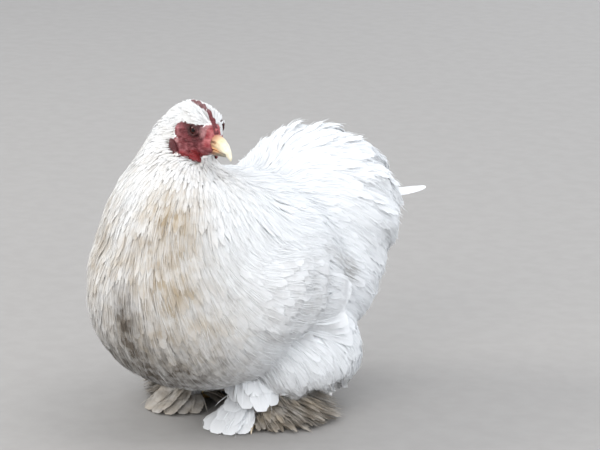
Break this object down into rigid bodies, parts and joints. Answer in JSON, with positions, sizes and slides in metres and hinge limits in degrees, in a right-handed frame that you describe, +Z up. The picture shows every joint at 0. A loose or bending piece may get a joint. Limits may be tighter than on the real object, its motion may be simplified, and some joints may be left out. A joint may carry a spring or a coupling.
{
  "type": "pekin bantam",
  "caption": "Life-size still model of a white pekin bantam hen standing with its head turned left: small single comb, folded wings, round cushion tail and feathered feet.",
  "frame": {"origin": "on the floor, under the middle of the model's box", "axes": "+X to the hen's left, +Y from the breast to the tail, +Z up"},
  "size_m": [0.1812, 0.286, 0.2328],
  "materials": {
    "plumage": "matt, soft overlapping feathers",
    "leg_plumage": "matt, soiled feathers",
    "flesh": "satin, finely grained skin",
    "horn": "semi-gloss horn",
    "eye": "wet gloss"
  },
  "bodies": {
    "root": {"torso": "plumage", "neck": "plumage", "tail": "plumage", "head": "plumage", "wing_left": "plumage", "wing_right": "plumage", "thigh_left": "plumage", "thigh_right": "plumage", "leg_left": "leg_plumage", "leg_right": "leg_plumage", "comb": "flesh", "wattle_left": "flesh", "wattle_right": "flesh", "earlobe_left": "flesh", "earlobe_right": "flesh", "beak_upper": "horn", "beak_lower": "horn", "eye_left": "eye", "eye_right": "eye"}
  },
  "joints": []
}
